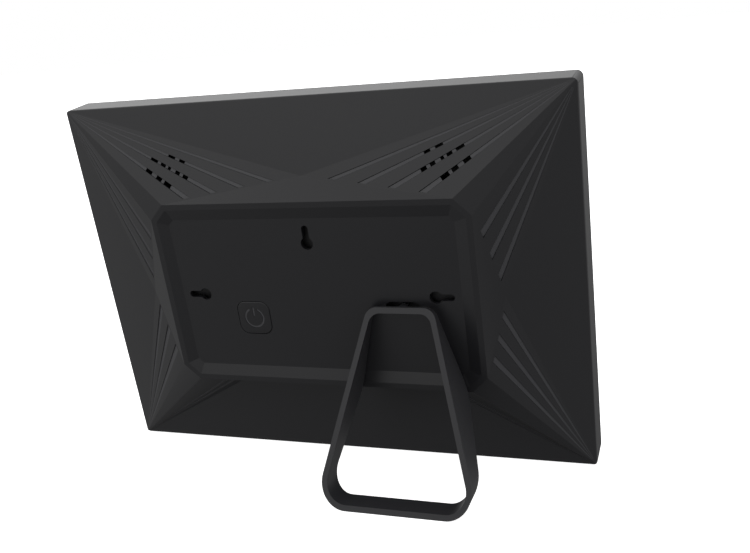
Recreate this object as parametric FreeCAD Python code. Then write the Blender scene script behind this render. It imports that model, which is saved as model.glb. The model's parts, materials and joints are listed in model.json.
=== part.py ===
import FreeCAD, Part
import math
import os

from FreeCAD import Vector

# Digital photo frame on a swivelling loop stand, in millimetres.
# Pieces are drawn upright: +X to the viewer's right of the screen, +Y out of the back, +Z up,
# with the origin at the middle of the rim's rear edges. lean_back() then tilts them to their rest.

# Housing
frame_width = 271.5
frame_height = 200.1
rim_depth = 17.6
wall = 2.2
bezel_plate = 2.6
corner_radius = 3.0
edge_radius = 0.8
front_edge_radius = 1.0
lean_angle = 5.4

# Faceted back
plateau_margin_x = 49.15
plateau_margin_z = 48.95
plateau_height = 16.3
plateau_chamfer = 8.4
ridge_inset = 37.85
ridge_height_top = 8.9
ridge_height_side = 11.2
foot_inset = 46.35
foot_height = 1.26
foot_half = 49.6
plateau_rim = 3.0
recess_bevel = 6.1
recess_depth = 1.7
recess_chamfer = 6.5
panel_chamfer = 2.8

# Radiating grooves
groove_start = 5.0
groove_end_gap = 1.2
groove_depth = 0.5
groove_floor = 3.4
groove_side = 0.4
top_grooves = 4
top_groove_first = 15.6
top_groove_pitch = 15.7
side_grooves = 3
side_groove_first = 8.6
side_groove_pitch = 11.6
foot_grooves = 2
foot_groove_first = 7.0
foot_groove_pitch = 5.4
foot_groove_share = 0.5

# Sound slots: groove number, counted from the middle, then (distance from the corner, length)
slot_rows = {
    3: [(60.8, 4.1), (67.8, 3.6), (73.6, 4.6)],
    2: [(60.7, 4.5), (66.5, 3.1), (70.5, 1.8), (75.8, 2.8), (80.8, 3.2)],
    1: [(69.4, 4.2), (75.8, 3.4)],
}

# Wall hanging
keyhole_head = 6.6
keyhole_slot = 3.6
keyhole_travel = 7.8
keyhole_side_x = 64.2
keyhole_top_z = 28.6
cup_wall = 1.2
cup_depth = 3.6

# Power button
button_size = 19.0
button_radius = 5.2
button_gap = 0.3
button_x = 37.5
button_z = -13.3
button_proud = 0.3
button_edge = 0.45
button_travel = 0.8
button_flange = 1.0
button_flange_thick = 1.2
button_stem = 3.0
symbol_radius = 5.2
symbol_stroke = 1.0
symbol_depth = 0.3
symbol_bar = 5.0
symbol_opening = 4.2
symbol_bar_rise = 0.8
button_board_drop = 5.6
button_board_thick = 1.2
button_board_height = 12.0
switch_size = 6.2
switch_height = 2.6
switch_gap = 0.1

# Display stack, front to back
view_width = 221.0
view_height = 140.0
glass_margin = 5.0
glass_thick = 1.5
module_width = 229.0
module_height = 149.0
gasket_thick = 0.5
gasket_band = 3.0
cell_thick = 1.2
diffuser_thick = 0.4
guide_thick = 2.0
tray_thick = 0.6
led_depth = 3.0
fit_gap = 0.3

# Steel bracket and its bosses on the bezel
bracket_thick = 1.0
bracket_side = 3.0
bracket_edge = 13.5
bracket_window_x = 176.0
bracket_window_z = 96.0
boss_radius = 3.5
boss_rows_x = (100.0, 35.0)
screw_radius = 1.25
screw_head_radius = 2.5
screw_head = 1.6
screw_length = 5.0
skirt_thick = 1.5
skirt_height = 2.5

# Main board, on standoffs behind the bracket
board_inner_x = 68.0
board_height = 70.0
board_thick = 1.6
board_end_gap = 1.0
standoff = 1.5
standoff_radius = 2.6
board_screw_length = 3.4
board_screw_inset = 9.0
chip_size = 16.0
memory_size = (9.0, 12.0)
memory_z = (12.0, -4.0)
module_size = (18.0, 14.0)
chip_thick = 1.2
can_thick = 2.4
jack_width = 8.0
jack_thick = 5.0
jack_length = 13.0
jack_bore = 3.6
jack_mouth_play = 0.3
jack_pin = 1.2
jack_floor = 3.0
jack_z = -22.0
card_width = 14.0
card_thick = 2.0
card_length = 14.5
card_mouth = (11.6, 1.2)
card_mouth_play = 0.4
card_back = 1.5
card_z = 10.0
flex_thick = 0.3
flex_width = 20.0
flex_tail = 12.0
flex_overlap = 5.0
flex_above_board = 2.0
antenna_size = (36.0, 9.0)
antenna_thick = 0.5
antenna_z = -30.0

# Loudspeakers
speaker_x = 74.0
speaker_z = 67.0
speaker_size = (27.0, 15.0)
speaker_thick = 5.0
speaker_back = 2.2
speaker_ear = 6.0
speaker_ear_thick = 1.5
post_radius = 2.6
cone_radius = 6.0
cone_floor = 3.5
cone_depth = 1.6
speaker_lip = 0.4

# Stand loop and its swivel
stand_x = -46.5
swivel_z = -6.2
seat_gap = 0.3
stand_top_drop = 5.3
stand_top_reach = 19.2
stand_foot_reach = 56.2
foot_depth = 9.85
stand_top_half = 17.2
stand_foot_half = 42.5
band = 2.8
stand_top_radius = 6.5
stand_top_inner = 6.0
stand_foot_radius = 13.0
leg_rear_angle = 41.3
leg_rear_radius = 20.0
leg_back_rise = 1.2
oval_z = -6.0
oval_length = 18.5
oval_height = 6.6
oval_depth = 9.0
oval_floor = 2.0
oval_wall = 1.8
hub_radius = 1.9
hub_play = 0.05
neck_height = 2.0
neck_z = -6.0
neck_sink = 2.2
neck_reach = 1.8
hub_bore_depth = 5.0
spring_thick = 0.7
washer_thick = 0.8
washer_radius = 4.6
washer_play = 0.15

# Derived places
half_w = frame_width / 2
half_h = frame_height / 2
plateau_x = half_w - plateau_margin_x
plateau_z = half_h - plateau_margin_z
panel_y = plateau_height - recess_depth
ceiling_y = panel_y - wall
parting_y = -rim_depth + bezel_plate
inner_x = half_w - wall
inner_z = half_h - wall
glass_y = parting_y
gasket_y = glass_y + glass_thick
cell_y = gasket_y + gasket_thick
diffuser_y = cell_y + cell_thick
guide_y = diffuser_y + diffuser_thick
tray_y = guide_y + guide_thick
bracket_y = tray_y + tray_thick
bracket_back = bracket_y + bracket_thick
bracket_x = module_width / 2 + bracket_side
bracket_z = module_height / 2 + bracket_edge
boss_z = bracket_z - boss_radius - 1.0
board_y = bracket_back + standoff
board_back = board_y + board_thick
board_outer_x = inner_x - board_end_gap
seat_y = plateau_height + seat_gap
hub_floor_y = panel_y - oval_depth - oval_floor
hub_end_y = hub_floor_y - spring_thick - fit_gap
button_board_y = ceiling_y - button_board_drop
button_board_back = button_board_y + button_board_thick
stem_end_y = button_board_back + switch_height
lean = math.radians(lean_angle)

# Height of the drawing's origin above the table, where the rounded bottom edge touches it
bottom_slope = math.atan2(foot_height, foot_inset)
bottom_tangent = edge_radius * math.tan((math.pi / 2 - bottom_slope) / 2)
rest_height = (half_h - edge_radius) * math.cos(lean) - bottom_tangent * math.sin(lean) + edge_radius


def block(x0, x1, y0, y1, z0, z1):
    return Part.makeBox(x1 - x0, y1 - y0, z1 - z0, Vector(x0, y0, z0))


def centred(width, height, y0, y1, x=0.0, z=0.0):
    return block(x - width / 2, x + width / 2, y0, y1, z - height / 2, z + height / 2)


def rod(radius, y0, y1, x, z):
    return Part.makeCylinder(radius, y1 - y0, Vector(x, y0, z), Vector(0, 1, 0))


def prism(points, y0, y1):
    wire = Part.makePolygon([Vector(x, y0, z) for x, z in points + points[:1]])
    return Part.Face(wire).extrude(Vector(0, y1 - y0, 0))


def hull_faces(faces):
    shell = Part.makeShell([Part.Face(Part.makePolygon(list(f) + [f[0]])) for f in faces])
    solid = Part.makeSolid(shell)
    return solid if solid.Volume > 0 else solid.reversed()


def rounded_block(width, height, y0, y1, radius, x=0.0, z=0.0):
    box = centred(width, height, y0, y1, x, z)
    upright = [e for e in box.Edges if abs(e.tangentAt(e.FirstParameter).y) > 0.99]
    return box.makeFillet(radius, upright)


def slot_block(length, height, y0, y1, x, z):
    half = (length - height) / 2
    ends = rod(height / 2, y0, y1, x - half, z).fuse(rod(height / 2, y0, y1, x + half, z))
    return ends.fuse(centred(2 * half, height, y0, y1, x, z)).removeSplitter()


def octagon(x, z, cut_x, cut_z):
    return [(x - cut_x, z), (x, z - cut_z), (x, -z + cut_z), (x - cut_x, -z),
            (-x + cut_x, -z), (-x, -z + cut_z), (-x, z - cut_z), (-x + cut_x, z)]


def screw(y_seat, x, z, length, direction=1):
    """Pan-head screw: the head rests on y_seat on the direction side, the shank goes the other way."""
    head = Part.makeCylinder(screw_head_radius, screw_head, Vector(x, y_seat, z), Vector(0, direction, 0))
    shank = Part.makeCylinder(screw_radius, length, Vector(x, y_seat, z), Vector(0, -direction, 0))
    drive_start = y_seat + direction * (screw_head - 0.8)
    drive = Part.makeCylinder(0.9, 1.0, Vector(x, drive_start, z), Vector(0, direction, 0))
    return head.fuse(shank).cut(drive).removeSplitter()


# Faceted outer form ------------------------------------------------------------------------------

def corner(sx, sz):
    return Vector(sx * half_w, 0, sz * half_h)


def ridge(side, sx):
    """Where a fan meets the long facet and the base facet of its side.

    Three sides rise to one middle point. The bottom stays nearly flat and ends in a steep wall,
    so each of its fans has a point of its own.
    """
    x, z = side
    if side == (0, -1):
        return Vector(sx * foot_half, foot_height, -half_h + foot_inset)
    if x == 0:
        return Vector(0, ridge_height_top, z * (half_h - ridge_inset))
    return Vector(x * (half_w - ridge_inset), ridge_height_side, 0)


def shoulder(sx, sz, side):
    """Plateau corner point next to the named side."""
    if side[0] == 0:
        return Vector(sx * (plateau_x - plateau_chamfer), plateau_height, sz * plateau_z)
    return Vector(sx * plateau_x, plateau_height, sz * (plateau_z - plateau_chamfer))


sides = [(0, 1), (1, 0), (0, -1), (-1, 0)]


def fans():
    """Corner, ridge point and shoulder of each of the eight grooved triangles."""
    found = []
    for side in sides:
        for turn in (-1, 1):
            sx = side[0] if side[0] else turn
            sz = side[1] if side[1] else turn
            found.append((side, corner(sx, sz), ridge(side, sx), shoulder(sx, sz, side)))
    return found


def outer_form():
    front = -rim_depth
    faces = []
    for side, c, m, p in fans():
        faces.append([c, m, p])
    for side in sides:
        (c0, m0, p0), (c1, m1, p1) = [fan[1:] for fan in fans() if fan[0] == side]
        foot = [m0] if (m1 - m0).Length < 1e-6 else [m0, m1]
        faces.append([c0, c1] + foot[::-1])
        faces.append([p0] + foot + [p1])
        low0, low1 = Vector(c0.x, front, c0.z), Vector(c1.x, front, c1.z)
        faces.append([c0, c1, low1, low0])
    for sx in (-1, 1):
        for sz in (-1, 1):
            faces.append([corner(sx, sz), shoulder(sx, sz, (0, sz)), shoulder(sx, sz, (sx, 0))])
    top = octagon(plateau_x, plateau_z, plateau_chamfer, plateau_chamfer)
    faces.append([Vector(x, plateau_height, z) for x, z in top])
    faces.append([Vector(sx * half_w, front, sz * half_h)
                  for sx, sz in ((1, 1), (1, -1), (-1, -1), (-1, 1))])
    return hull_faces(faces)


def edge_slope(side):
    if side == (0, -1):
        return math.atan2(foot_height, foot_inset)
    return math.atan2(ridge_height_top if side[0] == 0 else ridge_height_side, ridge_inset)


def edge_cutter(side):
    """Rounds the edge between a rim side and its long facet, drawn for the top or the right side."""
    slope = edge_slope(side)
    along_x = side[0] == 0
    half, length = (half_h, frame_width) if along_x else (half_w, frame_height)
    t = edge_radius * math.tan((math.pi / 2 - slope) / 2)
    centre = (-edge_radius, -t)
    bend = (math.pi / 2 - slope) / 2
    mid = (centre[0] + edge_radius * math.cos(bend), centre[1] + edge_radius * math.sin(bend))
    start = (0.0, -t)
    end = (-t * math.cos(slope), t * math.sin(slope))
    away = (end[0] + 3 * math.sin(slope), end[1] + 3 * math.cos(slope))

    def place(point, shift=0.0):
        n, y = point
        if along_x:
            return Vector(-length / 2 - 5 + shift, y, half + n)
        return Vector(half + n, y, -length / 2 - 5 + shift)

    edges = [Part.makeLine(place(start), place((3, -t))),
             Part.makeLine(place((3, -t)), place((3, away[1]))),
             Part.makeLine(place((3, away[1])), place(away)),
             Part.makeLine(place(away), place(end)),
             Part.Arc(place(end), place(mid), place(start)).toShape()]
    run = Vector(length + 10, 0, 0) if along_x else Vector(0, 0, length + 10)
    return Part.Face(Part.Wire(edges)).extrude(run)


def rounded_form():
    body = outer_form()
    for side in sides:
        cutter = edge_cutter(side)
        if side in ((0, -1), (-1, 0)):
            cutter.rotate(Vector(0, 0, 0), Vector(0, 1, 0), 180)
        body = body.cut(cutter)
    envelope = rounded_block(frame_width, frame_height, -rim_depth - 1, plateau_height + 1, corner_radius)
    return body.common(envelope)


def groove_line(m, p, offset):
    """End of a groove on the line from the ridge point to the shoulder, at a distance along the side."""
    span = abs(p.x - m.x) if abs(p.x - m.x) > abs(p.z - m.z) else abs(p.z - m.z)
    return m + (p - m) * (offset / span)


def groove(c, m, p, offset, share=1.0):
    """Tapered trapezoid groove from near the corner to just short of the base facet."""
    end = groove_line(m, p, offset)
    reach = (end - c).Length
    end = c + (end - c) * ((reach - groove_end_gap) / reach)
    across = (p - m).normalize()
    out = (m - c).cross(p - c).normalize()
    if out.y < 0:
        out = out * -1
    lift = 0.5
    side = groove_side * (1 + lift / groove_depth)

    def section(k):
        middle = c + (end - c) * k
        floor = groove_floor / 2 * share
        return [middle + across * (k * (floor + side)) + out * (k * lift),
                middle - across * (k * (floor + side)) + out * (k * lift),
                middle - across * (k * floor) - out * (k * groove_depth),
                middle + across * (k * floor) - out * (k * groove_depth)]

    near, far = section(groove_start / reach), section(1.0)
    faces = [near, far]
    for i in range(4):
        j = (i + 1) % 4
        faces.append([near[i], near[j], far[j], far[i]])
    return hull_faces(faces)


def groove_offsets(side):
    if side == (0, -1):
        return [foot_groove_first + i * foot_groove_pitch for i in range(foot_grooves)]
    if side[0] == 0:
        return [top_groove_first + i * top_groove_pitch for i in range(top_grooves)]
    return [side_groove_first + i * side_groove_pitch for i in range(side_grooves)]


def sound_slots():
    """Slots through the upper fans' grooves, as wide as the groove is there."""
    slots = []
    for side, c, m, p in fans():
        if side != (0, 1):
            continue
        out = (m - c).cross(p - c).normalize()
        if out.y < 0:
            out = out * -1
        offsets = groove_offsets(side)
        for row, places in slot_rows.items():
            end = groove_line(m, p, offsets[row])
            reach = (end - c).Length
            along = (end - c).normalize()
            across = out.cross(along)
            slant = abs(across.dot((p - m).normalize()))
            for distance, length in places:
                half = (groove_floor / 2 + groove_side) * slant * distance / reach
                near = c + along * (distance - length / 2)
                far = c + along * (distance + length / 2)
                outline = [near - across * half, far - across * half,
                           far + across * half, near + across * half]
                outline = [point + out * 1.5 for point in outline]
                face = Part.Face(Part.makePolygon(outline + outline[:1]))
                slots.append(face.extrude(out * -(wall + 5)))
    return slots


# Rear cover --------------------------------------------------------------------------------------

def recess_cut():
    rim_x, rim_z = plateau_x - plateau_rim, plateau_z - plateau_rim
    low_x, low_z = rim_x - recess_bevel, rim_z - recess_bevel
    upper = octagon(rim_x, rim_z, recess_chamfer, recess_chamfer)
    lower = octagon(low_x, low_z, panel_chamfer, panel_chamfer)
    top = [Vector(x, plateau_height, z) for x, z in upper]
    bottom = [Vector(x, panel_y, z) for x, z in lower]
    faces = [top, bottom]
    for i in range(8):
        j = (i + 1) % 8
        faces.append([top[i], bottom[i], bottom[j]])
        faces.append([top[i], bottom[j], top[j]])
    return hull_faces(faces).fuse(prism(upper, plateau_height, plateau_height + 1))


def keyholes():
    """Centre and slot direction of each keyhole."""
    return [((0.0, keyhole_top_z), (0, 1)),
            ((keyhole_side_x, 0.0), (1, 0)),
            ((-keyhole_side_x, 0.0), (-1, 0))]


def keyhole_cut(centre, way):
    x, z = centre
    end = (x + way[0] * keyhole_travel, z + way[1] * keyhole_travel)
    low, high = ceiling_y - 1, panel_y + 1
    half = keyhole_slot / 2
    side_x, side_z = half * abs(way[1]), half * abs(way[0])
    neck = block(min(x, end[0]) - side_x, max(x, end[0]) + side_x, low, high,
                 min(z, end[1]) - side_z, max(z, end[1]) + side_z)
    return rod(keyhole_head / 2, low, high, x, z).fuse(rod(half, low, high, *end)).fuse(neck)


def speaker_posts():
    posts = []
    for sx in (-1, 1):
        for end in (-1, 1):
            x = sx * speaker_x + end * (speaker_size[0] + speaker_ear) / 2
            posts.append((x, speaker_z))
    return posts


def button_posts():
    reach = button_size / 2 + button_flange + post_radius + fit_gap
    return [(button_x + end * reach, button_z) for end in (-1, 1)]


def cover_cavity(form):
    """Inside of the cover: the outer form lowered by the wall, under a flat ceiling."""
    lowered = form.copy()
    lowered.translate(Vector(0, -wall, 0))
    room = block(-inner_x, inner_x, -rim_depth - wall - 2, ceiling_y, -inner_z, inner_z)
    return lowered.common(room)


def rear_cover(form):
    cover = form.cut(cover_cavity(outer_form()))
    cover = cover.cut(centred(frame_width + 2, frame_height + 2, -rim_depth - 5, parting_y))
    posts = [rod(post_radius, speaker_back, plateau_height, x, z) for x, z in speaker_posts()]
    posts = [post.common(form) for post in posts]
    posts += [rod(post_radius, button_board_back, ceiling_y, x, z)
              for x, z in button_posts()]
    posts.append(slot_block(oval_length + 2 * oval_wall, oval_height + 2 * oval_wall,
                            hub_floor_y, ceiling_y, stand_x, oval_z))
    cover = cover.fuse(posts).removeSplitter()
    cuts = [recess_cut()]
    for side, c, m, p in fans():
        share = foot_groove_share if side == (0, -1) else 1.0
        for offset in groove_offsets(side):
            cuts.append(groove(c, m, p, offset, share))
    for centre, way in keyholes():
        cuts.append(keyhole_cut(centre, way))
    low, high = ceiling_y - 1, panel_y + 1
    cuts.append(rounded_block(button_size, button_size, low, high, button_radius, button_x, button_z))
    cuts.append(slot_block(oval_length, oval_height, panel_y - oval_depth, high, stand_x, oval_z))
    cuts.append(rod(hub_radius + hub_play, hub_floor_y - 1, panel_y + 1, stand_x, swivel_z))
    for x, z in speaker_posts():
        depth = screw_length - speaker_ear_thick
        cuts.append(rod(screw_radius, speaker_back - 1, speaker_back + depth, x, z))
    for x, z in button_posts():
        cuts.append(rod(screw_radius, button_board_back - 1, button_board_y + screw_length, x, z))
    cuts.append(jack_mouth())
    cuts.append(card_mouth_cut())
    cover = cover.cut(Part.makeCompound(cuts))
    for slot in sound_slots():
        cover = cover.cut(slot)
    return cover


def keyhole_cups():
    """Closed pocket behind each keyhole, seated on the inside of the panel."""
    cups = []
    for (x, z), way in keyholes():
        length = keyhole_travel + keyhole_head + 2
        width = keyhole_head + 2
        size = (length, width) if way[0] else (width, length)
        cx = x + way[0] * keyhole_travel / 2
        cz = z + way[1] * keyhole_travel / 2
        low = ceiling_y - cup_depth
        outer = centred(size[0] + 2 * cup_wall, size[1] + 2 * cup_wall, low, ceiling_y, cx, cz)
        cups.append(outer.cut(centred(size[0], size[1], low + cup_wall, ceiling_y + 1, cx, cz)))
    return Part.makeCompound(cups)


# Front -------------------------------------------------------------------------------------------

def ring(width, height, band_x, band_z, y0, y1):
    opening = centred(width - 2 * band_x, height - 2 * band_z, y0 - 1, y1 + 1)
    return centred(width, height, y0, y1).cut(opening)


def bracket_screw_places():
    return [(sx * x, sz * boss_z) for x in boss_rows_x for sx in (-1, 1) for sz in (-1, 1)]


def front_bezel():
    plate = rounded_block(frame_width, frame_height, -rim_depth, parting_y, corner_radius)
    rim = [e for e in plate.Edges if abs(e.BoundBox.YMax + rim_depth) < 1e-6]
    plate = plate.makeFillet(front_edge_radius, rim)
    bezel = plate.cut(centred(view_width, view_height, -rim_depth - 1, parting_y + 1))
    skirt = ring(2 * (inner_x - fit_gap), 2 * (inner_z - fit_gap), skirt_thick, skirt_thick,
                 parting_y, parting_y + skirt_height)
    bosses = [rod(boss_radius, parting_y, bracket_y, x, z) for x, z in bracket_screw_places()]
    bezel = bezel.fuse([skirt] + bosses).removeSplitter()
    depth = screw_length - bracket_thick
    low = bracket_y - depth
    holes = [rod(screw_radius, low, bracket_y + 1, x, z) for x, z in bracket_screw_places()]
    return bezel.cut(Part.makeCompound(holes))


def cover_glass():
    return centred(view_width + 2 * glass_margin, view_height + 2 * glass_margin, glass_y, gasket_y)


def module_layer(y0, y1, inset=0.0):
    return centred(module_width - 2 * inset, module_height - 2 * inset, y0, y1)


def backlight_tray():
    """Folded steel tray around the light guide, diffuser and edge light."""
    tray = module_layer(diffuser_y, bracket_y)
    return tray.cut(module_layer(diffuser_y - 1, tray_y, tray_thick))


def light_guide():
    inset = tray_thick + fit_gap / 2
    lower = inset + led_depth + fit_gap / 2
    return block(-module_width / 2 + inset, module_width / 2 - inset, guide_y, tray_y,
                 -module_height / 2 + lower, module_height / 2 - inset)


def led_strip():
    inset = tray_thick + fit_gap / 2
    low = -module_height / 2 + inset
    half = module_width / 2 - inset
    return block(-half, half, guide_y, tray_y, low, low + led_depth)


def panel_bracket():
    plate = centred(2 * bracket_x, 2 * bracket_z, bracket_y, bracket_back)
    plate = plate.cut(centred(bracket_window_x, bracket_window_z, bracket_y - 1, bracket_back + 1))
    stands = [rod(standoff_radius, bracket_back, board_y, x, z) for x, z in board_screw_places()]
    plate = plate.fuse(stands).removeSplitter()
    low, high = bracket_y - 1, bracket_back + 1
    holes = [rod(screw_radius, low, high, x, z) for x, z in bracket_screw_places()]
    holes += [rod(screw_radius, low, board_y + 1, x, z) for x, z in board_screw_places()]
    x0, x1, z0, z1 = flex_slot()
    holes.append(block(x0 - fit_gap, x1 + fit_gap, low, high, z0 - fit_gap, z1 + fit_gap))
    return plate.cut(Part.makeCompound(holes))


# Electronics -------------------------------------------------------------------------------------

def board_screw_places():
    z = board_height / 2 - board_screw_inset
    xs = (bracket_window_x / 2 + standoff_radius + 1.0, bracket_x - standoff_radius - 1.0)
    return [(x, sz * z) for x in xs for sz in (-1, 1)]


def main_board():
    half = board_height / 2
    board = block(board_inner_x, board_outer_x, board_y, board_back, -half, half)
    holes = [rod(screw_radius, board_y - 1, board_back + 1, x, z) for x, z in board_screw_places()]
    return board.cut(Part.makeCompound(holes))


def chip(width, height, thick, x, z):
    return centred(width, height, board_back, board_back + thick, x, z)


def board_middle():
    return (board_inner_x + board_outer_x) / 2


def dc_jack():
    outer = inner_x - fit_gap
    body = block(outer - jack_length, outer, board_y - jack_thick, board_y,
                 jack_z - jack_width / 2, jack_z + jack_width / 2)
    y = board_y - jack_thick / 2
    deep = jack_length - jack_floor
    bore = Part.makeCylinder(jack_bore / 2, deep, Vector(outer, y, jack_z), Vector(-1, 0, 0))
    pin = Part.makeCylinder(jack_pin / 2, deep - 1, Vector(outer - deep, y, jack_z), Vector(1, 0, 0))
    return body.cut(bore).fuse(pin).removeSplitter()


def jack_mouth():
    y = board_y - jack_thick / 2
    radius = jack_bore / 2 + jack_mouth_play
    return Part.makeCylinder(radius, wall + 2, Vector(inner_x - 1, y, jack_z), Vector(1, 0, 0))


def card_slot():
    outer = inner_x - fit_gap
    body = block(outer - card_length, outer, board_y - card_thick, board_y,
                 card_z - card_width / 2, card_z + card_width / 2)
    y = board_y - card_thick / 2
    wide, tall = card_mouth
    mouth = block(outer - card_length + card_back, outer + 1, y - tall / 2, y + tall / 2,
                  card_z - wide / 2, card_z + wide / 2)
    return body.cut(mouth)


def card_mouth_cut():
    y = board_y - card_thick / 2
    wide, tall = card_mouth[0] + 2 * card_mouth_play, card_mouth[1] + 2 * card_mouth_play
    low, high = y - tall / 2, y + tall / 2
    return block(inner_x - 1, half_w + 1, low, high, card_z - wide / 2, card_z + wide / 2)


def flex_slot():
    """Plan of the display cable's fold beside the display module."""
    x0 = module_width / 2 + fit_gap
    z0 = board_height / 2 + flex_above_board
    return x0, x0 + flex_thick, z0, z0 + flex_width


def display_flex():
    x0, x1, z0, z1 = flex_slot()
    drop = block(x0, x1, cell_y, board_back + flex_thick, z0, z1)
    over = block(x0 - flex_tail, x1, board_back, board_back + flex_thick,
                 board_height / 2 - flex_overlap, z1)
    tail = block(module_width / 2, x1, cell_y, cell_y + flex_thick, z0, z1)
    return drop.fuse([over, tail]).removeSplitter()


def wifi_antenna():
    return centred(*antenna_size, ceiling_y - antenna_thick, ceiling_y, 0, antenna_z)


def speaker(sx):
    x = sx * speaker_x
    mouth = speaker_back + speaker_lip
    body = centred(*speaker_size, speaker_back - speaker_thick, mouth, x, speaker_z)
    ears = centred(speaker_size[0] + 2 * speaker_ear, 2 * post_radius + 1,
                   speaker_back - speaker_ear_thick, speaker_back, x, speaker_z)
    cone = Part.makeCone(cone_radius, cone_floor, cone_depth, Vector(x, mouth, speaker_z),
                         Vector(0, -1, 0))
    shape = body.fuse(ears).removeSplitter().cut(cone)
    holes = [rod(screw_radius, speaker_back - 6, speaker_back + 1, px, pz)
             for px, pz in speaker_posts() if px * sx > 0]
    return shape.cut(Part.makeCompound(holes))


def speaker_screws():
    seat = speaker_back - speaker_ear_thick
    return Part.makeCompound([screw(seat, x, z, screw_length, -1) for x, z in speaker_posts()])


# Power button ------------------------------------------------------------------------------------

def power_button():
    """Cap with a flange behind the panel, a stem to the switch and a sunk ring-and-bar symbol."""
    top = panel_y + button_proud
    size = button_size - 2 * button_gap
    cap = rounded_block(size, size, ceiling_y, top, button_radius - button_gap, button_x, button_z)
    rim = [e for e in cap.Edges if abs(e.BoundBox.YMin - top) < 1e-6]
    cap = cap.makeFillet(button_edge, rim)
    wide = button_size + 2 * button_flange
    flange = rounded_block(wide, wide, ceiling_y - button_flange_thick, ceiling_y,
                           button_radius + button_flange, button_x, button_z)
    stem = rod(button_stem / 2, stem_end_y, ceiling_y - button_flange_thick, button_x, button_z)
    cap = cap.fuse([flange, stem]).removeSplitter()
    low, high = top - symbol_depth, top + 1
    outer = rod(symbol_radius + symbol_stroke / 2, low, high, button_x, button_z)
    inner = rod(symbol_radius - symbol_stroke / 2, low - 1, high + 1, button_x, button_z)
    top_z = button_z + symbol_radius
    opening = centred(symbol_opening, symbol_radius * 2, low - 1, high + 1, button_x, top_z)
    circle = outer.cut(inner).cut(opening)
    bar_z = top_z - symbol_bar / 2 + symbol_bar_rise
    bar = centred(symbol_stroke, symbol_bar, low, high, button_x, bar_z)
    return cap.cut(circle).cut(bar)


def button_board():
    ends = button_posts()
    width = ends[1][0] - ends[0][0] + 2 * post_radius + 1
    board = centred(width, button_board_height, button_board_y, button_board_back, button_x, button_z)
    holes = [rod(screw_radius, button_board_y - 1, ceiling_y, x, z) for x, z in ends]
    return board.cut(Part.makeCompound(holes))


def button_switch():
    top = stem_end_y - button_travel - switch_gap
    return centred(switch_size, switch_size, button_board_back, top, button_x, button_z)


def button_screws():
    return Part.makeCompound([screw(button_board_y, x, z, screw_length, -1) for x, z in button_posts()])


# Stand -------------------------------------------------------------------------------------------

def lean_back(shape):
    """From the upright drawing to the rest position on the table."""
    turned = shape.copy()
    turned.rotate(Vector(0, 0, 0), Vector(1, 0, 0), -lean_angle)
    return settle(turned)


def settle(shape):
    shape.translate(Vector(0, 0, rest_height))
    return shape


def rounded_trapezoid(top_half, foot_half, top_z, foot_z, top_r, foot_r):
    """Closed wire of a trapezoid with round corners, in the XZ plane through the stand's middle."""
    points = [(top_half, top_z), (foot_half, foot_z), (-foot_half, foot_z), (-top_half, top_z)]
    radii = [top_r, foot_r, foot_r, top_r]
    arcs = []
    for i, (point, radius) in enumerate(zip(points, radii)):
        here = Vector(stand_x + point[0], 0, point[1])
        before = Vector(stand_x + points[i - 1][0], 0, points[i - 1][1])
        after = Vector(stand_x + points[(i + 1) % 4][0], 0, points[(i + 1) % 4][1])
        back, ahead = (before - here).normalize(), (after - here).normalize()
        half = back.getAngle(ahead) / 2
        reach = radius / math.tan(half)
        middle = (back + ahead).normalize()
        bulge = middle * (radius / math.sin(half) - radius)
        arcs.append((here + back * reach, here + bulge, here + ahead * reach))
    edges = []
    for i, (start, mid, end) in enumerate(arcs):
        edges.append(Part.Arc(start, mid, end).toShape())
        edges.append(Part.makeLine(end, arcs[(i + 1) % 4][0]))
    return Part.Wire(edges)


def stand_ring():
    """Band of the loop, seen level from behind and drawn level to the table."""
    foot_z = -rest_height
    top_z = -stand_top_drop
    slope = (stand_foot_half - stand_top_half) / (top_z - foot_z)
    sec = math.sqrt(1 + slope * slope)
    outer = rounded_trapezoid(stand_top_half, stand_foot_half, top_z, foot_z,
                              stand_top_radius, stand_foot_radius)
    top_in = stand_top_half + slope * band - band * sec
    foot_in = stand_foot_half - slope * band - band * sec
    inner = rounded_trapezoid(top_in, foot_in, top_z - band, foot_z + band,
                              stand_top_inner, stand_foot_radius - band)
    depth = Vector(0, stand_foot_reach + 10, 0)
    return Part.Face(outer).extrude(depth).cut(Part.Face(inner).extrude(depth))


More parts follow.
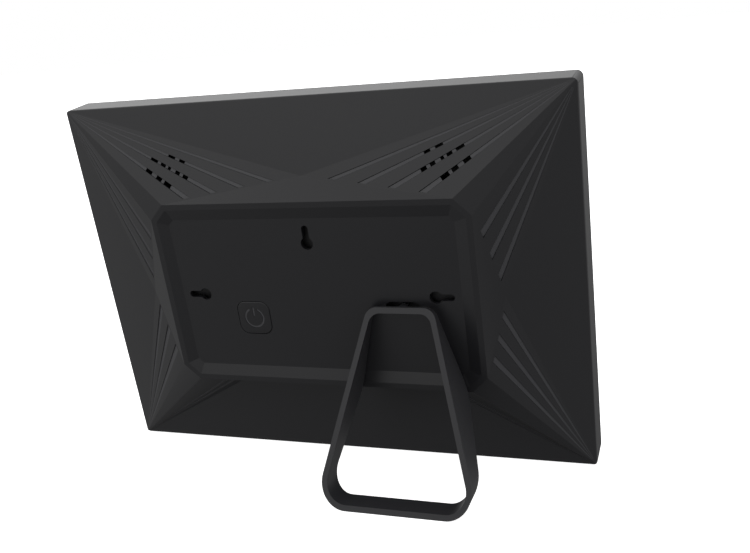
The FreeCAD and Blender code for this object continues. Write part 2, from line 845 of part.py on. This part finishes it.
def stand_side():
    """Side outline of the loop, extruded across it: flat on the back, then raked to the foot."""
    foot_z = -rest_height
    cos, sin = math.cos(lean), math.sin(lean)

    def upright(y, z):
        return (y * cos - z * sin, y * sin + z * cos)

    front_top = upright(stand_top_reach, -stand_top_drop)
    front_foot = upright(stand_foot_reach, foot_z)
    back_foot = upright(stand_foot_reach - foot_depth, foot_z)
    rake = math.radians(leg_rear_angle)
    bend_z = back_foot[1] + (back_foot[0] - seat_y) / math.tan(rake)
    reach = leg_rear_radius * math.tan(rake / 2)
    flat_end = (seat_y, bend_z + reach)
    rake_start = (seat_y + reach * math.sin(rake), bend_z - reach * math.cos(rake))
    centre = (seat_y + leg_rear_radius, flat_end[1])
    mid = (centre[0] - leg_rear_radius * math.cos(rake / 2),
           centre[1] - leg_rear_radius * math.sin(rake / 2))
    steep = (front_foot[0] - front_top[0]) / (front_foot[1] - front_top[1])
    over = (front_top[0] + 8 * steep, front_top[1] + 8)
    under = 5.0
    front_low = (front_foot[0] - under * steep, front_foot[1] - under)
    back_low = (back_foot[0] + under * math.tan(rake), back_foot[1] - under)
    left = stand_x - stand_foot_half - 5

    def place(point):
        return Vector(left, point[0], point[1])

    rise = leg_back_rise / (front_top[1] - flat_end[1])
    top_back = (seat_y + rise * (over[1] - flat_end[1]), over[1])
    edges = [Part.makeLine(place(over), place(front_low)),
             Part.makeLine(place(front_low), place(back_low)),
             Part.makeLine(place(back_low), place(rake_start)),
             Part.Arc(place(rake_start), place(mid), place(flat_end)).toShape(),
             Part.makeLine(place(flat_end), place(top_back)),
             Part.makeLine(place(top_back), place(over))]
    side = Part.Face(Part.Wire(edges)).extrude(Vector(2 * stand_foot_half + 10, 0, 0))
    side.rotate(Vector(0, 0, 0), Vector(1, 0, 0), -lean_angle)
    return side


def swivel_hub():
    """Turned post under the loop's bar, with a flat neck no higher than the bar."""
    reach = seat_y + neck_reach
    low = panel_y - neck_sink
    hub = rod(hub_radius, hub_end_y, low, stand_x, swivel_z)
    hub = hub.fuse(centred(2 * hub_radius, neck_height, low - 1, reach, stand_x, neck_z))
    return hub.cut(rod(screw_radius, hub_end_y - 1, hub_end_y + hub_bore_depth, stand_x, swivel_z))


def stand_loop():
    hub = swivel_hub()
    hub.rotate(Vector(0, 0, 0), Vector(1, 0, 0), -lean_angle)
    return settle(stand_ring().common(stand_side()).fuse(hub).removeSplitter())


def pivot_spring():
    """Crinkled spring ring between the cover's pad and the washer, drawn flat."""
    outer = rod(washer_radius - 1, hub_floor_y - spring_thick, hub_floor_y, stand_x, swivel_z)
    return outer.cut(rod(hub_radius + fit_gap, hub_end_y, hub_floor_y + 1, stand_x, swivel_z))


def pivot_washer():
    outer = rod(washer_radius, hub_end_y - washer_thick, hub_end_y, stand_x, swivel_z)
    return outer.cut(rod(screw_radius + washer_play, hub_end_y - 5, hub_end_y + 1, stand_x, swivel_z))


def pivot_screw():
    seat = hub_end_y - washer_thick
    return screw(seat, stand_x, swivel_z, washer_thick + hub_bore_depth - 0.5, -1)


# All pieces --------------------------------------------------------------------------------------

def group(shapes):
    return Part.makeCompound(shapes)


def pieces():
    form = rounded_form()
    middle = board_middle()
    upright = {
        "rear_cover": rear_cover(form),
        "keyhole_cups": keyhole_cups(),
        "front_bezel": front_bezel(),
        "cover_glass": cover_glass(),
        "glass_gasket": ring(module_width, module_height, gasket_band, gasket_band, gasket_y, cell_y),
        "lcd_panel": module_layer(cell_y, diffuser_y),
        "diffuser_sheet": module_layer(diffuser_y, guide_y, tray_thick + fit_gap / 2),
        "light_guide": light_guide(),
        "led_strip": led_strip(),
        "backlight_tray": backlight_tray(),
        "panel_bracket": panel_bracket(),
        "bracket_screws": group([screw(bracket_back, x, z, screw_length)
                                 for x, z in bracket_screw_places()]),
        "main_board": main_board(),
        "board_screws": group([screw(board_back, x, z, board_screw_length)
                               for x, z in board_screw_places()]),
        "main_chip": chip(chip_size, chip_size, chip_thick, middle - 4, 4),
        "memory_chips": group([chip(*memory_size, chip_thick, middle - 22, z) for z in memory_z]),
        "wifi_module": chip(*module_size, can_thick, middle - 6, -16),
        "display_flex": display_flex(),
        "wifi_antenna": wifi_antenna(),
        "dc_jack": dc_jack(),
        "card_slot": card_slot(),
        "speaker_left": speaker(1),
        "speaker_right": speaker(-1),
        "speaker_screws": speaker_screws(),
        "power_button": power_button(),
        "button_board": button_board(),
        "button_switch": button_switch(),
        "button_screws": button_screws(),
        "pivot_spring": pivot_spring(),
        "pivot_washer": pivot_washer(),
        "pivot_screw": pivot_screw(),
    }
    placed = {name: lean_back(shape) for name, shape in upright.items()}
    placed["stand_loop"] = stand_loop()
    return placed


os.makedirs("parts", exist_ok=True)
built = pieces()
box = Part.makeCompound([built["front_bezel"], built["stand_loop"]]).optimalBoundingBox(False, False)
shift = Vector(-(box.XMin + box.XMax) / 2, -(box.YMin + box.YMax) / 2, 0)
for name, shape in built.items():
    shape.translate(shift)
    shape.exportStep("parts/" + name + ".step")
    print(name, len(shape.Solids), "solids", round(shape.Volume, 1), shape.isValid())
print("shift", shift, "box", box)
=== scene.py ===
import bpy
import bmesh
import json
import math
from mathutils import Matrix, Vector


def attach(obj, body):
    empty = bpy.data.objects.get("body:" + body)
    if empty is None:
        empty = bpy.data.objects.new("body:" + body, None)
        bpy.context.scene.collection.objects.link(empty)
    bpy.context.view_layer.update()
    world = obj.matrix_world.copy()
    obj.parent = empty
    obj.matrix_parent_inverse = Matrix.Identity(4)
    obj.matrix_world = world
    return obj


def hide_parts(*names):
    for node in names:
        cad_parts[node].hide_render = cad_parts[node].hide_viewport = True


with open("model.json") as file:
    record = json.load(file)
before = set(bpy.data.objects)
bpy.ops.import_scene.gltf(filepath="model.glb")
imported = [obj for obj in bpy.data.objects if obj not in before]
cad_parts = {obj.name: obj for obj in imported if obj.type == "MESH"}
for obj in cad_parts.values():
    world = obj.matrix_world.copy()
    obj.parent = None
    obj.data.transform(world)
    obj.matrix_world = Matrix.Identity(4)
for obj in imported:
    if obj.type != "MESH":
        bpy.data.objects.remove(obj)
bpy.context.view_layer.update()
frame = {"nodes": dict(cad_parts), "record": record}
nodes = frame["nodes"]
mm = 0.001

# The housing's own axes: across, up along the screen and out of the back, found from the stand's swivel
swivel = next(j for j in frame["record"]["behaviour"]["joints"] if j["name"] == "stand_swivel")
outAxis = Vector(swivel["axis"]).normalized()
acrossAxis = Vector((-1, 0, 0))
upAxis = outAxis.cross(acrossAxis).normalized()
pivotPlace = {"across": 46.5, "up": -6.2, "out": 16.6}      # the swivel's place on the housing, in mm
housingCentre = (Vector(swivel["pos_m"]) - acrossAxis * pivotPlace["across"] * mm
                 - upAxis * pivotPlace["up"] * mm - outAxis * pivotPlace["out"] * mm)
housingTurn = Matrix((acrossAxis, upAxis, outAxis)).transposed()


def onHousing(across, up, out):
    return housingCentre + housingTurn @ Vector((across, up, out)) * mm


def housingPlace(point):
    return housingTurn.transposed() @ (point - housingCentre) / mm


view = {"across": 196.3, "up": 183.5, "out": 414.7, "aimAcross": 32.1, "aimUp": 9.0, "aimOut": 10.0,
        "roll": -6.0, "lens": 45.1}


def makeCamera():
    data = bpy.data.cameras.new("productCamera")
    data.lens = view["lens"]
    data.sensor_width = 36
    data.clip_start = 0.01
    camera = bpy.data.objects.new("productCamera", data)
    bpy.context.collection.objects.link(camera)
    place = onHousing(view["across"], view["up"], view["out"])
    aim = onHousing(view["aimAcross"], view["aimUp"], view["aimOut"])
    turn = (aim - place).to_track_quat("-Z", "Y").to_matrix().to_4x4()
    roll = Matrix.Rotation(math.radians(view["roll"]), 4, "Z")
    camera.matrix_world = Matrix.Translation(place) @ turn @ roll
    bpy.context.scene.camera = camera
    print("camera placed")


def linear(hexColour):
    parts = [int(hexColour[i:i + 2], 16) / 255 for i in (1, 3, 5)]
    return [p / 12.92 if p <= 0.04045 else ((p + 0.055) / 1.055) ** 2.4 for p in parts] + [1.0]


def addNode(tree, kind, settings=None, inputs=None, links=None):
    node = tree.nodes.new(kind)
    for name, value in (settings or {}).items():
        setattr(node, name, value)
    for name, value in (inputs or {}).items():
        node.inputs[name].default_value = value
    for name, source in (links or {}).items():
        tree.links.new(source, node.inputs[name])
    return node


def newMaterial(name, colour, roughness, **surface):
    material = bpy.data.materials.new(name)
    material.use_nodes = True
    tree = material.node_tree
    shader = tree.nodes["Principled BSDF"]
    shader.inputs["Base Color"].default_value = linear(colour)
    shader.inputs["Roughness"].default_value = roughness
    for socket, value in surface.items():
        shader.inputs[socket.replace("_", " ")].default_value = value
    return material, tree, shader


def grainBump(tree, shader, grainMm, depthMm, strength, detail=2.0):
    place = addNode(tree, "ShaderNodeTexCoord")
    grain = addNode(tree, "ShaderNodeTexNoise", {}, {"Scale": 1 / (grainMm * mm), "Detail": detail},
                    {"Vector": place.outputs["Object"]})
    addNode(tree, "ShaderNodeBump", {}, {"Strength": strength, "Distance": depthMm * mm},
            {"Height": grain.outputs["Fac"]})
    tree.links.new(tree.nodes["Bump"].outputs["Normal"], shader.inputs["Normal"])
    return grain


# Moulded ABS. The spark-eroded mould leaves a fine even grain that turns the studio into a soft grey sheen
shellLook = {"colour": "#17171a", "roughness": 0.36, "grain": 0.5, "depth": 0.02, "strength": 0.3,
             # The groove colour is lighter than the shell's: painted sheen on the groove floors
             "grooveSheenColour": "#37373a", "grooveRoughness": 0.36,
             "standColour": "#222225", "standRoughness": 0.5,
             "capColour": "#141417", "capRoughness": 0.38,
             "printColour": "#48484b", "printRoughness": 0.55}


def mouldedAbs(name, colour, roughness):
    material, tree, shader = newMaterial(name, colour, roughness, IOR=1.5)
    grainBump(tree, shader, shellLook["grain"], shellLook["depth"], shellLook["strength"])
    return material


def polishedAbs(name, colour, roughness):
    return newMaterial(name, colour, roughness, IOR=1.5)[0]


def sheetSteel(name, colour, roughness, grainMm):
    material, tree, shader = newMaterial(name, colour, roughness, Metallic=1.0)
    grain = grainBump(tree, shader, grainMm, 0.01, 0.15)
    ramp = addNode(tree, "ShaderNodeMapRange", {}, {"To Min": roughness - 0.06, "To Max": roughness + 0.08},
                   {"Value": grain.outputs["Fac"]})
    tree.links.new(ramp.outputs["Result"], shader.inputs["Roughness"])
    return material


def makeMaterials():
    look = shellLook
    made = {
        # Spark-eroded mould, so each facet reads as one even soft grey
        "shell": mouldedAbs("blackAbsSparkEroded", look["colour"], look["roughness"]),
        # Groove floors cut clean by the mould's grooving tool; their lighter colour is painted sheen, so the
        # grooves draw bright thin lines
        "groove": polishedAbs("blackAbsGroovePaintedSheen", look["grooveSheenColour"], look["grooveRoughness"]),
        # Coarser satin mould, which spreads light along the band instead of mirroring it
        "stand": mouldedAbs("blackAbsStandSatin", look["standColour"], look["standRoughness"]),
        # Same grain as the cover a touch duller, so the cap only shows by its edge
        "cap": mouldedAbs("blackAbsButtonCap", look["capColour"], look["capRoughness"]),
        # Pad-printed ink lies matt in the sunk symbol and reads as mid grey
        "print": newMaterial("greyPadPrintedInk", look["printColour"], look["printRoughness"])[0],
        # Plain tool finish; the near-black colour is painted shade, so the keyhole openings look deep
        "inner": mouldedAbs("blackAbsPaintedHoleShade", "#101012", 0.5),
        # Float glass, clear and flat, so the black print and the display show through it
        "glass": newMaterial("clearFloatGlass", "#f4f7f6", 0.03, IOR=1.52, Transmission_Weight=1.0)[0],
        # Enamel screened on the glass, a dense black edge to the picture
        "border": newMaterial("blackScreenPrintedEnamel", "#0a0a0b", 0.3)[0],
        # Polariser film over the cell, dark and faintly blue when off
        "display": newMaterial("polarisedDisplayCell", "#0d0e11", 0.22, IOR=1.5, Coat_Weight=0.3)[0],
        # Drawn film with a milky fill, soft white
        "film": newMaterial("milkyPolyesterFilm", "#dededc", 0.6)[0],
        # Cast sheet with flame-polished edges, clear with a bright rim
        "acrylic": newMaterial("clearCastAcrylic", "#eef3f2", 0.08, IOR=1.49, Transmission_Weight=0.9)[0],
        # Die-cut foam, quite dull
        "foam": newMaterial("blackClosedCellFoam", "#1e1e1f", 0.9)[0],
        # Rolled and zinc plated, so its sheen is broken into a faint spangle
        "sheet": sheetSteel("zincPlatedSheetSteel", "#b9bbbd", 0.38, 1.2),
        # Headed and barrel plated, a finer and brighter spangle
        "screw": sheetSteel("zincPlatedScrewSteel", "#a9abae", 0.32, 0.6),
        # Tempered and oil blackened, a dark metal gleam
        "spring": sheetSteel("blackenedSpringSteel", "#4d4e52", 0.35, 0.8),
        # Bright tin over drawn steel, pale and warm
        "tin": sheetSteel("tinPlatedShieldCan", "#c4c5c2", 0.28, 1.0),
        # Cured solder mask, glossy deep green
        "board": newMaterial("greenSolderMaskOnFibreglass", "#14401f", 0.35, Coat_Weight=0.4)[0],
        # Transfer moulded, matt and slightly grey
        "epoxy": newMaterial("mouldedBlackEpoxy", "#1c1c1d", 0.55)[0],
        # Cast film on copper, amber with a clean gloss
        "polyimide": newMaterial("amberPolyimideFilm", "#8a5516", 0.3, Coat_Weight=0.3)[0],
        # Injection moulded, a soft low sheen
        "nylon": newMaterial("blackMouldedNylon", "#161617", 0.5)[0],
        # White mask that throws the strip's light back
        "ledBoard": newMaterial("whiteSolderMask", "#d8d8d2", 0.45)[0],
    }
    print("materials made:", len(made))
    return made


# The keyhole cups take the near-black inner material, painted shade for their depth
finish = {"rear_cover": "shell", "keyhole_cups": "inner", "front_bezel": "shell", "cover_glass": "glass",
          "glass_gasket": "foam", "lcd_panel": "display", "diffuser_sheet": "film", "light_guide": "acrylic",
          "led_strip": "ledBoard", "backlight_tray": "sheet", "panel_bracket": "sheet",
          "bracket_screws": "screw", "main_board": "board", "board_screws": "screw", "main_chip": "epoxy",
          "memory_chips": "epoxy", "wifi_module": "tin", "display_flex": "polyimide",
          "wifi_antenna": "polyimide", "dc_jack": "nylon", "card_slot": "tin", "speaker_left": "nylon",
          "speaker_right": "nylon", "speaker_screws": "screw", "power_button": "cap",
          "button_board": "board", "button_switch": "epoxy", "button_screws": "screw",
          "pivot_spring": "spring", "pivot_washer": "screw", "pivot_screw": "screw", "stand_loop": "stand"}


def dressNodes(materials):
    for name, node in nodes.items():
        node.data.materials.clear()
        node.data.materials.append(materials[finish[name]])
    print("nodes finished:", len(nodes))


# Lengths in mm and angles in degrees; strips narrower than this belong to a rounded edge
merging = {"weld": 0.002, "flatAngle": 0.15, "stripWidth": 1.8, "facetAngle": 1, "curveAngle": 24}


def mergedCopy(nodeName, pieceName):
    piece = nodes[nodeName].copy()
    piece.data = nodes[nodeName].data.copy()
    piece.name = piece.data.name = pieceName
    bpy.context.collection.objects.link(piece)
    mesh = bmesh.new()
    mesh.from_mesh(piece.data)
    bmesh.ops.remove_doubles(mesh, verts=mesh.verts, dist=merging["weld"] * mm)
    bmesh.ops.dissolve_limit(mesh, angle_limit=math.radians(merging["flatAngle"]), verts=mesh.verts,
                             edges=mesh.edges)
    width = {face: 2 * face.calc_area() / face.calc_perimeter() for face in mesh.faces}
    for face in mesh.faces:
        face.smooth = True
    for edge in mesh.edges:        # facets meet at sharp edges; only narrow strips round a curve flow on
        if len(edge.link_faces) != 2:
            continue
        wide = min(width[face] for face in edge.link_faces) > merging["stripWidth"] * mm
        if edge.calc_face_angle() > math.radians(merging["facetAngle" if wide else "curveAngle"]):
            edge.smooth = False
    mesh.to_mesh(piece.data)
    mesh.free()
    return piece


def softenEdges(piece, look):
    bevel = piece.modifiers.new("softEdges", "BEVEL")
    bevel.width = look["softness"] * mm
    bevel.segments = look["segments"]
    bevel.limit_method = "ANGLE"
    bevel.angle_limit = math.radians(look["edgeAngle"])
    bevel.use_clamp_overlap = True
    bevel.harden_normals = True
    bevel.miter_outer = "MITER_ARC"


def keepFlat(piece):
    flat = piece.modifiers.new("flatFacets", "WEIGHTED_NORMAL")
    flat.keep_sharp = True


# Rear cover: the housing's outline and facets, in mm on the housing's axes, tell the groove floors apart
cover = {"halfWidth": 135.75, "halfHeight": 100.05, "plateauAcross": 86.6, "plateauUp": 51.1, "chamfer": 8.4,
         "plateauOut": 16.3, "ridgeTop": (0.0, 62.2, 8.9), "ridgeSide": (97.9, 0.0, 11.2),
         "foot": (49.6, -53.7, 1.26), "grooveDepth": 0.75, "leastDepth": 0.02, "alike": 0.999}


def fanPlanes():
    c = cover
    shoulderAcross = c["plateauAcross"] - c["chamfer"]
    shoulderUp = c["plateauUp"] - c["chamfer"]
    planes = []
    for across in (-1, 1):
        for up in (-1, 1):
            tip = Vector((across * c["halfWidth"], up * c["halfHeight"], 0))
            sideTop = Vector((across * c["plateauAcross"], up * shoulderUp, c["plateauOut"]))
            sideEnd = Vector((across * shoulderAcross, up * c["plateauUp"], c["plateauOut"]))
            middle = Vector(c["ridgeTop"]) if up > 0 else Vector((across * c["foot"][0], *c["foot"][1:]))
            side = Vector((across * c["ridgeSide"][0], *c["ridgeSide"][1:]))
            for ridge, shoulder in ((middle, sideEnd), (side, sideTop)):
                normal = (ridge - tip).cross(shoulder - tip).normalized()
                planes.append((tip, ridge, shoulder, normal if normal.z > 0 else -normal))
    return planes


def inPlan(point, a, b, c):
    turns = [(q.x - p.x) * (point.y - p.y) - (q.y - p.y) * (point.x - p.x)
             for p, q in ((a, b), (b, c), (c, a))]
    return all(t >= 0 for t in turns) or all(t <= 0 for t in turns)


def makeCover(materials):
    piece = mergedCopy("rear_cover", "rearCoverShell")
    piece.data.materials.append(materials["groove"])
    planes = fanPlanes()
    floors = 0
    for face in piece.data.polygons:
        centre = housingPlace(face.center)
        normal = housingTurn.transposed() @ face.normal
        for tip, ridge, shoulder, fanNormal in planes:
            if normal.dot(fanNormal) > cover["alike"] and inPlan(centre, tip, ridge, shoulder):
                sunk = (tip - centre).dot(fanNormal)
                if cover["leastDepth"] < sunk < cover["grooveDepth"]:
                    # groove floor faces take the lighter material, painted sheen
                    face.material_index = 1
                    floors += 1
    keepFlat(piece)
    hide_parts("rear_cover")
    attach(piece, "housing")
    print("cover ready, groove floors:", floors)
    return piece


# Front bezel: the moulded edge catches a thin line of light
bezel = {"softness": 0.35, "segments": 3, "edgeAngle": 30}


def makeBezel():
    piece = mergedCopy("front_bezel", "frontBezelFrame")
    softenEdges(piece, bezel)
    keepFlat(piece)
    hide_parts("front_bezel")
    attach(piece, "housing")
    print("bezel ready")
    return piece


# Stand loop: one bent-looking band with its edges eased
standLook = {"softness": 0.45, "segments": 3, "edgeAngle": 30}


def makeStand():
    piece = mergedCopy("stand_loop", "standLoopBand")
    softenEdges(piece, standLook)
    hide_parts("stand_loop")
    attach(piece, "stand")
    print("stand ready")
    return piece


# Power button: the symbol's sunk floor takes the printed ink
button = {"top": 14.9, "symbolDepth": 0.3, "nearness": 0.05, "facing": 0.99}


def makeButton(materials):
    piece = mergedCopy("power_button", "powerButtonCap")
    piece.data.materials.append(materials["print"])
    inked = 0
    for face in piece.data.polygons:
        centre = housingPlace(face.center)
        normal = housingTurn.transposed() @ face.normal
        depth = button["top"] - centre.z
        if normal.z > button["facing"] and abs(depth - button["symbolDepth"]) < button["nearness"]:
            face.material_index = 1
            inked += 1
    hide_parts("power_button")
    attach(piece, "button")
    print("button ready, inked faces:", inked)
    return piece


# Black border printed on the back of the cover glass, round the part of the display that lights
border = {"outerWidth": 229.0, "outerHeight": 148.0, "printWidth": 6.0, "out": -13.5, "thickness": 0.04}


def makeBorder(materials):
    mesh = bmesh.new()
    bmesh.ops.create_grid(mesh, x_segments=1, y_segments=1, size=0.5)
    bmesh.ops.scale(mesh, vec=(border["outerWidth"], border["outerHeight"], 1), verts=mesh.verts)
    ring = bmesh.ops.inset_region(mesh, faces=mesh.faces[:], thickness=border["printWidth"],
                                  use_even_offset=True, use_boundary=True)
    inner = [face for face in mesh.faces if face not in ring["faces"]]
    bmesh.ops.delete(mesh, geom=inner, context="FACES")
    bmesh.ops.solidify(mesh, geom=mesh.faces[:], thickness=border["thickness"])
    bmesh.ops.recalc_face_normals(mesh, faces=mesh.faces)
    place = Matrix.Translation(onHousing(0, 0, border["out"])) @ (housingTurn * mm).to_4x4()
    bmesh.ops.transform(mesh, matrix=place, verts=mesh.verts)
    data = bpy.data.meshes.new("glassBorderPrint")
    mesh.to_mesh(data)
    mesh.free()
    piece = bpy.data.objects.new("glassBorderPrint", data)
    bpy.context.collection.objects.link(piece)
    data.materials.append(materials["border"])
    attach(piece, "housing")
    print("glass border printed, faces:", len(data.polygons))
    return piece


# Light tent on the housing's axes: each wall glows most along its own way, a lamp behind picks out the top
# edge, and one softbox is the key. Ways are across, up and out; then strength and how narrow the glow is.
tent = {
    "rightWall": ((1, 0, 0), 1.1, 2),
    "leftWall": ((-1, 0, 0), 0.5, 2),
    "roof": ((0, 1, 0), 1.0, 2),
    "floorBounce": ((0, -1, 0), 0.2, 2),
    "cameraSide": ((0, 0, 1), 0.25, 2),
    "upperLeftLamp": ((-0.8, 0.5, 0.3), 0.9, 12),
    "backLamp": ((-0.4, 0.4, -0.8), 1.2, 3),
    "keySoftbox": ((-0.3, 0.3, 0.9), 0.9, 14),
}
studio = {"floorColour": "#fbfbfb", "floorGlow": 0.85, "floorSize": 8, "floorDrop": 0.0002}


def makeWorld():
    world = bpy.data.worlds.new("studioWorld")
    bpy.context.scene.world = world
    world.use_nodes = True
    tree = world.node_tree
    way = addNode(tree, "ShaderNodeTexCoord").outputs["Generated"]
    total = None
    for direction, strength, narrowness in tent.values():
        aim = housingTurn @ Vector(direction).normalized()
        facing = addNode(tree, "ShaderNodeVectorMath", {"operation": "DOT_PRODUCT"}, {1: aim}, {0: way})
        front = addNode(tree, "ShaderNodeMath", {"operation": "MAXIMUM"}, {1: 0.0},
                        {0: facing.outputs["Value"]})
        glow = addNode(tree, "ShaderNodeMath", {"operation": "POWER"}, {1: narrowness},
                       {0: front.outputs[0]})
        part = addNode(tree, "ShaderNodeMath", {"operation": "MULTIPLY_ADD"}, {1: strength, 2: 0.0},
                       {0: glow.outputs[0]})
        if total:
            tree.links.new(total, part.inputs[2])
        total = part.outputs[0]
    eye = addNode(tree, "ShaderNodeLightPath")
    mix = addNode(tree, "ShaderNodeMix", {}, {"B": 1.0}, {"Factor": eye.outputs["Is Camera Ray"], "A": total})
    background = tree.nodes["Background"]
    background.inputs["Color"].default_value = (1, 1, 1, 1)
    tree.links.new(mix.outputs["Result"], background.inputs["Strength"])
    print("tent lit:", len(tent))


def makeFloor():
    bpy.ops.mesh.primitive_plane_add(size=studio["floorSize"], location=(0, 0, -studio["floorDrop"]))
    floor = bpy.context.object
    floor.name = "studioFloor"
    material = newMaterial("paleStudioPaper", studio["floorColour"], 0.9, Emission_Color=(1, 1, 1, 1),
                           Emission_Strength=studio["floorGlow"])[0]
    floor.data.materials.append(material)
    floor.visible_diffuse = False
    floor.visible_glossy = False
    bpy.context.scene.view_settings.view_transform = "Standard"
    print("floor laid")


makeCamera()
materials = makeMaterials()
dressNodes(materials)
makeCover(materials)
makeBezel()
makeStand()
makeButton(materials)
makeBorder(materials)
makeWorld()
makeFloor()
